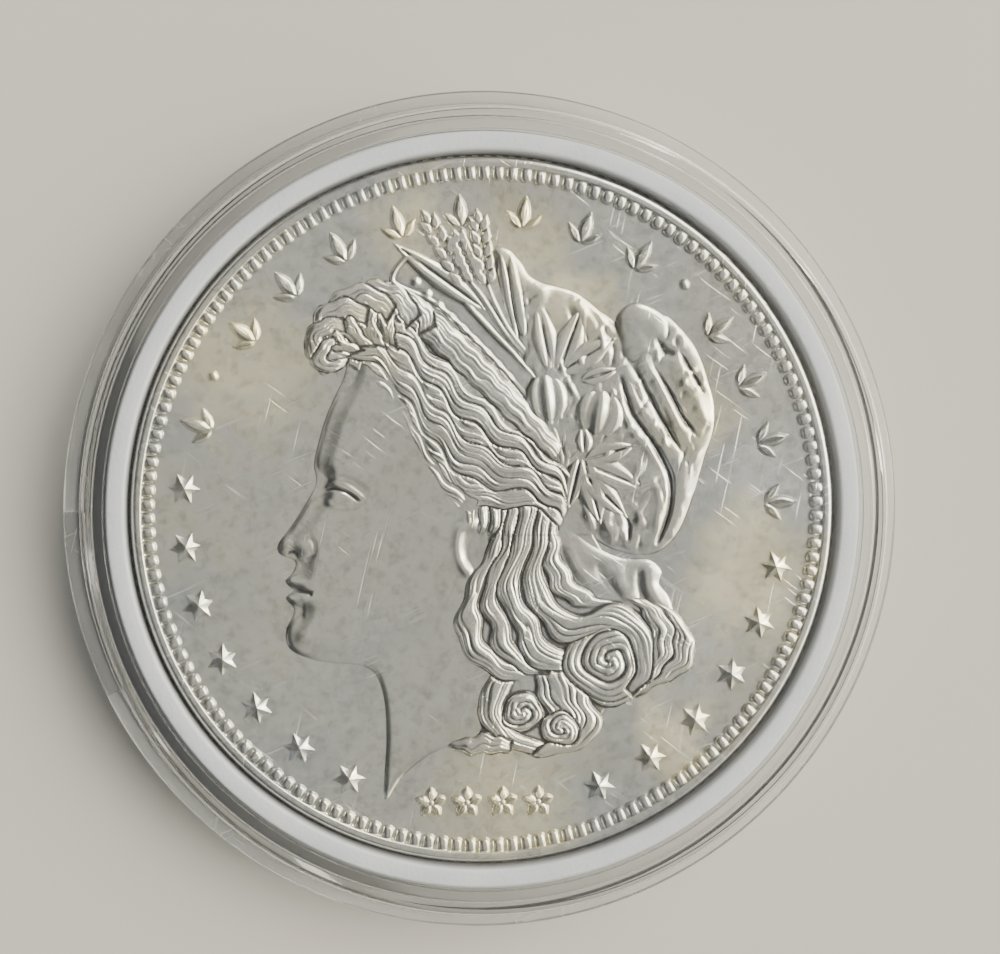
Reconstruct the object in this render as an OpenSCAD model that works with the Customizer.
// Coin capsule: a clear two-part shell, a white foam insert ring and the dollar-sized coin it holds.
// The frame is in millimetres: +Z up, the origin at the centre of the face the capsule rests on, and
// the coin's obverse faces +Z with the portrait upright along +Y.

/* [Coin] */
// Diameter over the coin's reeded edge
coin_d = 38.1; // [37.5:0.1:38.1]
// Thickness at the coin's rim
coin_t = 2.4; // [2.2:0.1:2.6]
// Depth of the field below the rim
field_depth = 0.3; // [0.2:0.02:0.4]
// Number of reeds round the edge
reeds = 180; // [90:10:200]
// Number of beads inside each rim
beads = 150; // [60:10:160]

/* [Insert ring] */
// Outer diameter of the foam ring
ring_od = 40.6; // [40.2:0.1:40.6]
// Height of the foam ring
ring_h = 2.95; // [2.8:0.05:3.2]
// Radial clearance between the coin and the ring's grip
coin_clearance = 0.05; // [0.02:0.01:0.1]

/* [Capsule] */
// Diameter of the clear drum that shows above and below the flange
drum_d = 43.4; // [43.2:0.1:43.8]
// Diameter of the outer flange
flange_d = 45.0; // [44.6:0.1:46]
// Thickness of the lid and floor windows
plate_t = 1.4; // [1.2:0.1:1.6]
// Height of the space between the two windows
chamber_h = 3.4; // [3.3:0.1:4]
// Thickness of each half's flange
flange_t = 0.8; // [0.6:0.1:1]
// Radial clearance between the base's spigot and the lid's skirt
skirt_clearance = 0.05; // [0.03:0.01:0.08]
// Angle that the opening notch covers
notch_angle = 26; // [16:2:40]

/* [Hidden] */
$fn = 160;
eps = 0.05;

// Capsule levels and radii
height = 2 * plate_t + chamber_h;
mid = height / 2;
seam_gap = 0.08;
spigot_bore_r = ring_od / 2 + 0.1;
skirt_wall = 0.65;
skirt_bore_r = drum_d / 2 - skirt_wall;
spigot_r = skirt_bore_r - skirt_clearance;
spigot_top = plate_t + chamber_h - 0.15;
flange_r = flange_d / 2;
edge_round = 0.35;
edge_break = 0.12;
notch_start = 180;
notch_depth = (flange_d - drum_d) / 2;

// Insert ring
grip_r = coin_d / 2 + coin_clearance;
grip_opening = 0.22;
grip_slope = 0.57;
grip_round = 0.18;
ring_bottom = plate_t;

// Coin levels and bands
coin_z = ring_bottom + (ring_h - coin_t) / 2;
coin_r = coin_d / 2;
reed_depth = 0.12;
rim_w = 0.55;
bead_w = 0.85;
bead_drop = 0.08;
star_ring_r = 16.15;
star_r = 0.92;
stars = 13;
star_pitch = 11.25;
left_stars = 7;
legend_height = 0.14;
portrait_height = 0.2;

// Points of an arc, for rounding a profile
function arc(centre, r, from, to, steps = 5) =
    [for (i = [0:steps]) let (a = from + (to - from) * i / steps) centre + r * [cos(a), sin(a)]];

// A closed curve through a few points
function through(p0, p1, p2, p3, t) =
    0.5 * (2 * p1 + (p2 - p0) * t + (2 * p0 - 5 * p1 + 4 * p2 - p3) * t * t
        + (3 * p1 - p0 - 3 * p2 + p3) * t * t * t);
function smooth(points, steps = 4) = let (n = len(points))
    [for (i = [0:n - 1]) for (s = [0:steps - 1])
        through(points[(i + n - 1) % n], points[i], points[(i + 1) % n], points[(i + 2) % n], s / steps)];

// Outline of a star with the given number of points
function star_outline(points, r, inner) =
    [for (i = [0:2 * points - 1]) let (a = 90 + i * 180 / points) (i % 2 == 0 ? r : r * inner) * [cos(a), sin(a)]];

// Outline of a leaf from its stem to its tip along +Y
function leaf_outline(length, width) =
    [for (i = [0:5]) let (t = i / 5) [width / 2 * sin(180 * t) * (1.25 - 0.5 * t), length * t],
     for (i = [4:-1:1]) let (t = i / 5) [-width / 2 * sin(180 * t) * (1.25 - 0.5 * t), length * t]];

// ---- Capsule ----

module capsule_base() {
    color([0.86, 0.9, 0.92, 0.35])
        rotate_extrude()
            polygon(concat(
                [[0, 0]],
                arc([drum_d / 2 - edge_round, edge_round], edge_round, -90, 0),
                [[drum_d / 2, mid - flange_t], [flange_r - edge_break, mid - flange_t],
                 [flange_r, mid - flange_t + edge_break],
                 [flange_r, mid - seam_gap / 2 - edge_break], [flange_r - edge_break, mid - seam_gap / 2],
                 [spigot_r, mid - seam_gap / 2],
                 [spigot_r, spigot_top - edge_break], [spigot_r - edge_break, spigot_top],
                 [spigot_bore_r + edge_break, spigot_top], [spigot_bore_r, spigot_top - edge_break],
                 [spigot_bore_r, plate_t], [0, plate_t]]));
}

module lid_shell() {
    rotate_extrude()
        polygon(concat(
            [[0, height - plate_t], [skirt_bore_r, height - plate_t],
             [skirt_bore_r, mid + seam_gap / 2 + edge_break], [skirt_bore_r + edge_break, mid + seam_gap / 2],
             [flange_r - edge_break, mid + seam_gap / 2], [flange_r, mid + seam_gap / 2 + edge_break],
             [flange_r, mid + flange_t - edge_break], [flange_r - edge_break, mid + flange_t],
             [drum_d / 2, mid + flange_t]],
            arc([drum_d / 2 - edge_round, height - edge_round], edge_round, 0, 90),
            [[0, height]]));
}

// A sector of the flange, from the drum's wall outwards
module notch_cutter() {
    rotate([0, 0, notch_start])
        translate([0, 0, mid])
            rotate_extrude(angle = notch_angle)
                translate([drum_d / 2, 0])
                    square([notch_depth + 1, flange_t + 0.3]);
}

module capsule_lid() {
    color([0.86, 0.9, 0.92, 0.35])
        difference() {
            lid_shell();
            notch_cutter();
        }
}

// ---- Insert ring ----

module insert_ring() {
    color([0.88, 0.9, 0.92])
        translate([0, 0, ring_bottom])
            rotate_extrude()
                polygon(concat(
                    [[grip_r, grip_round + grip_slope]],
                    arc([grip_r + grip_opening + grip_round, grip_round], grip_round, -180, -90, 3),
                    [[ring_od / 2 - edge_break, 0], [ring_od / 2, edge_break],
                     [ring_od / 2, ring_h - edge_break], [ring_od / 2 - edge_break, ring_h]],
                    arc([grip_r + grip_opening + grip_round, ring_h - grip_round], grip_round, 90, 180, 3),
                    [[grip_r, ring_h - grip_round - grip_slope]]));
}

// ---- Coin ----

// The blank, with the field let into each face and reeds round the edge
module coin_blank() {
    reed_outline = [for (i = [0:2 * reeds - 1])
        let (a = 180 * i / reeds) (coin_r - (i % 2) * reed_depth) * [cos(a), sin(a)]];
    bead_r = coin_r - rim_w;
    field_r = bead_r - bead_w;
    bead_outline = [for (i = [0:2 * beads - 1])
        let (a = 180 * i / beads) (field_r + (i % 2) * bead_w * 0.6) * [cos(a), sin(a)]];
    difference() {
        linear_extrude(coin_t) polygon(reed_outline);
        for (side = [0, 1])
            translate([0, 0, side ? coin_t - field_depth : field_depth]) mirror([0, 0, 1 - side]) {
                linear_extrude(field_depth + 1) polygon(bead_outline);
                translate([0, 0, field_depth - bead_drop]) cylinder(r = bead_r, h = 1);
            }
    }
}

// Places its children round the legend circle, upright to the centre
module on_circle(angle, r = star_ring_r) {
    rotate([0, 0, angle - 90]) translate([0, r, 0]) children();
}

module star_row() {
    first_left = 175.6;
    first_right = 292.6;
    for (i = [0:stars - 1])
        on_circle(i < left_stars ? first_left + i * star_pitch : first_right + (i - left_stars) * star_pitch)
            translate([0, 0, -eps]) linear_extrude(legend_height + eps)
                polygon(star_outline(6, star_r, 0.5));
}

// A sprig of three leaves, the ornament that fills the legend's places
module sprig(size = 1.9) {
    translate([0, -size / 2, -eps]) linear_extrude(legend_height + eps) polygon(leaf_outline(size, size * 0.3));
    for (side = [-1, 1])
        translate([0, -size / 2, -eps]) rotate([0, 0, side * 42])
            linear_extrude(legend_height + eps) polygon(leaf_outline(size * 0.75, size * 0.26));
}

module legend() {
    step = 12.1;
    for (a = concat([163.4], [for (i = [0:7]) 143.6 - i * step], [for (i = [0:3]) 37.4 - i * step]))
        on_circle(a) sprig();
    for (a = [153.6, 48])
        on_circle(a) translate([0, 0, -eps]) cylinder(r = 0.3, h = legend_height + eps, $fn = 24);
    for (x = [-2.6, -0.85, 0.9, 2.65])
        translate([x, -16, 0]) sprig(1.7);
}

// The bust in layers: neck and face, hair, cap and the sprays of wheat
third = 5;
head_tilt = 8;
chin_place = [-10.35, -7.6];
// Forward reach and height above the chin, in thirds of the face, from the hairline to the throat
profile_thirds = [[-0.14, 3], [-0.02, 2.6], [0.03, 2.3], [0.05, 2.04], [0, 1.84], [0.08, 1.6], [0.2, 1.34],
    [0.31, 1.14], [0.28, 1.03], [0.11, 0.98], [0.11, 0.86], [0.18, 0.75], [0.09, 0.66], [0.15, 0.57],
    [0.04, 0.45], [0.1, 0.22], [0.02, 0.03], [-0.3, -0.05]];
function in_face(p) = let (a = head_tilt, q = [-p[0] * third, p[1] * third])
    chin_place + [q[0] * cos(a) + q[1] * sin(a), q[1] * cos(a) - q[0] * sin(a)];

module layer(points, rise, steps = 4) {
    translate([0, 0, -eps]) linear_extrude(rise + eps) polygon(smooth(points, steps));
}

module bust() {
    layer(concat([for (p = profile_thirds) in_face(p)],
        [[-6.6, -8.2], [-5.4, -8.9], [-5.3, -12], [-5.4, -15.2], [-3.2, -13.6], [-1, -12.6], [3, -11.8],
         [5, -6], [5, 1], [2, 6], [-3, 9], [-6.5, 9.5]]), portrait_height, 3);
    layer([[-8.6, 7.4], [-9.1, 8.9], [-8.6, 10.8], [-7.2, 11.7], [-4.6, 11.8], [-1, 9.5], [4, 4], [5, -1],
        [8, -4], [11.2, -6.4], [11.4, -8.2], [10, -10], [7.6, -11.4], [5.6, -12.9], [3.4, -13.4], [1, -13.2],
        [-1.4, -13.2], [-0.4, -11.6], [-0.8, -9], [-1.6, -6.6], [-1.2, -4], [-1, -1], [-2.4, 2.6],
        [-5, 6], [-7, 7]], portrait_height + 0.04);
    layer([[-4.8, 12.6], [-4, 14], [0.6, 14.2], [1.9, 12.4], [4.4, 11.2], [7, 9.6], [8.2, 11], [10.4, 10.4],
        [12.2, 7.4], [12.5, 4.6], [11.6, 1], [10.4, -1.6], [10.6, -4.4], [10.9, -6.2], [8.2, -4.9],
        [5.4, -2.4], [3.6, 1], [1.2, 5.4], [-1.6, 9.4]], portrait_height + 0.08);
    for (a = [12, -4, -20])
        translate([-0.4, 9.4, -eps]) rotate([0, 0, a])
            linear_extrude(portrait_height + 0.12 + eps) polygon(leaf_outline(6.4, 1.1));
}

// The reverse: a wreath of paired leaves round a plain star
module wreath() {
    wreath_r = 12.4;
    leaf_pairs = 14;
    for (i = [0:leaf_pairs - 1], side = [-1, 1])
        on_circle(-90 + side * (12 + i * 11.2), wreath_r)
            rotate([0, 0, side * 90]) for (spread = [-28, 28])
                translate([0, -1.3, -eps]) rotate([0, 0, spread])
                    linear_extrude(legend_height + eps) polygon(leaf_outline(2.8, 0.95));
    translate([0, 0, -eps]) linear_extrude(portrait_height + eps) polygon(star_outline(8, 6.4, 0.62));
}

module coin() {
    color([0.78, 0.77, 0.73])
        translate([0, 0, coin_z]) {
            coin_blank();
            translate([0, 0, coin_t - field_depth]) {
                star_row();
                legend();
                bust();
            }
            translate([0, 0, field_depth]) rotate([0, 180, 0]) wreath();
        }
}

capsule_base();
capsule_lid();
insert_ring();
coin();
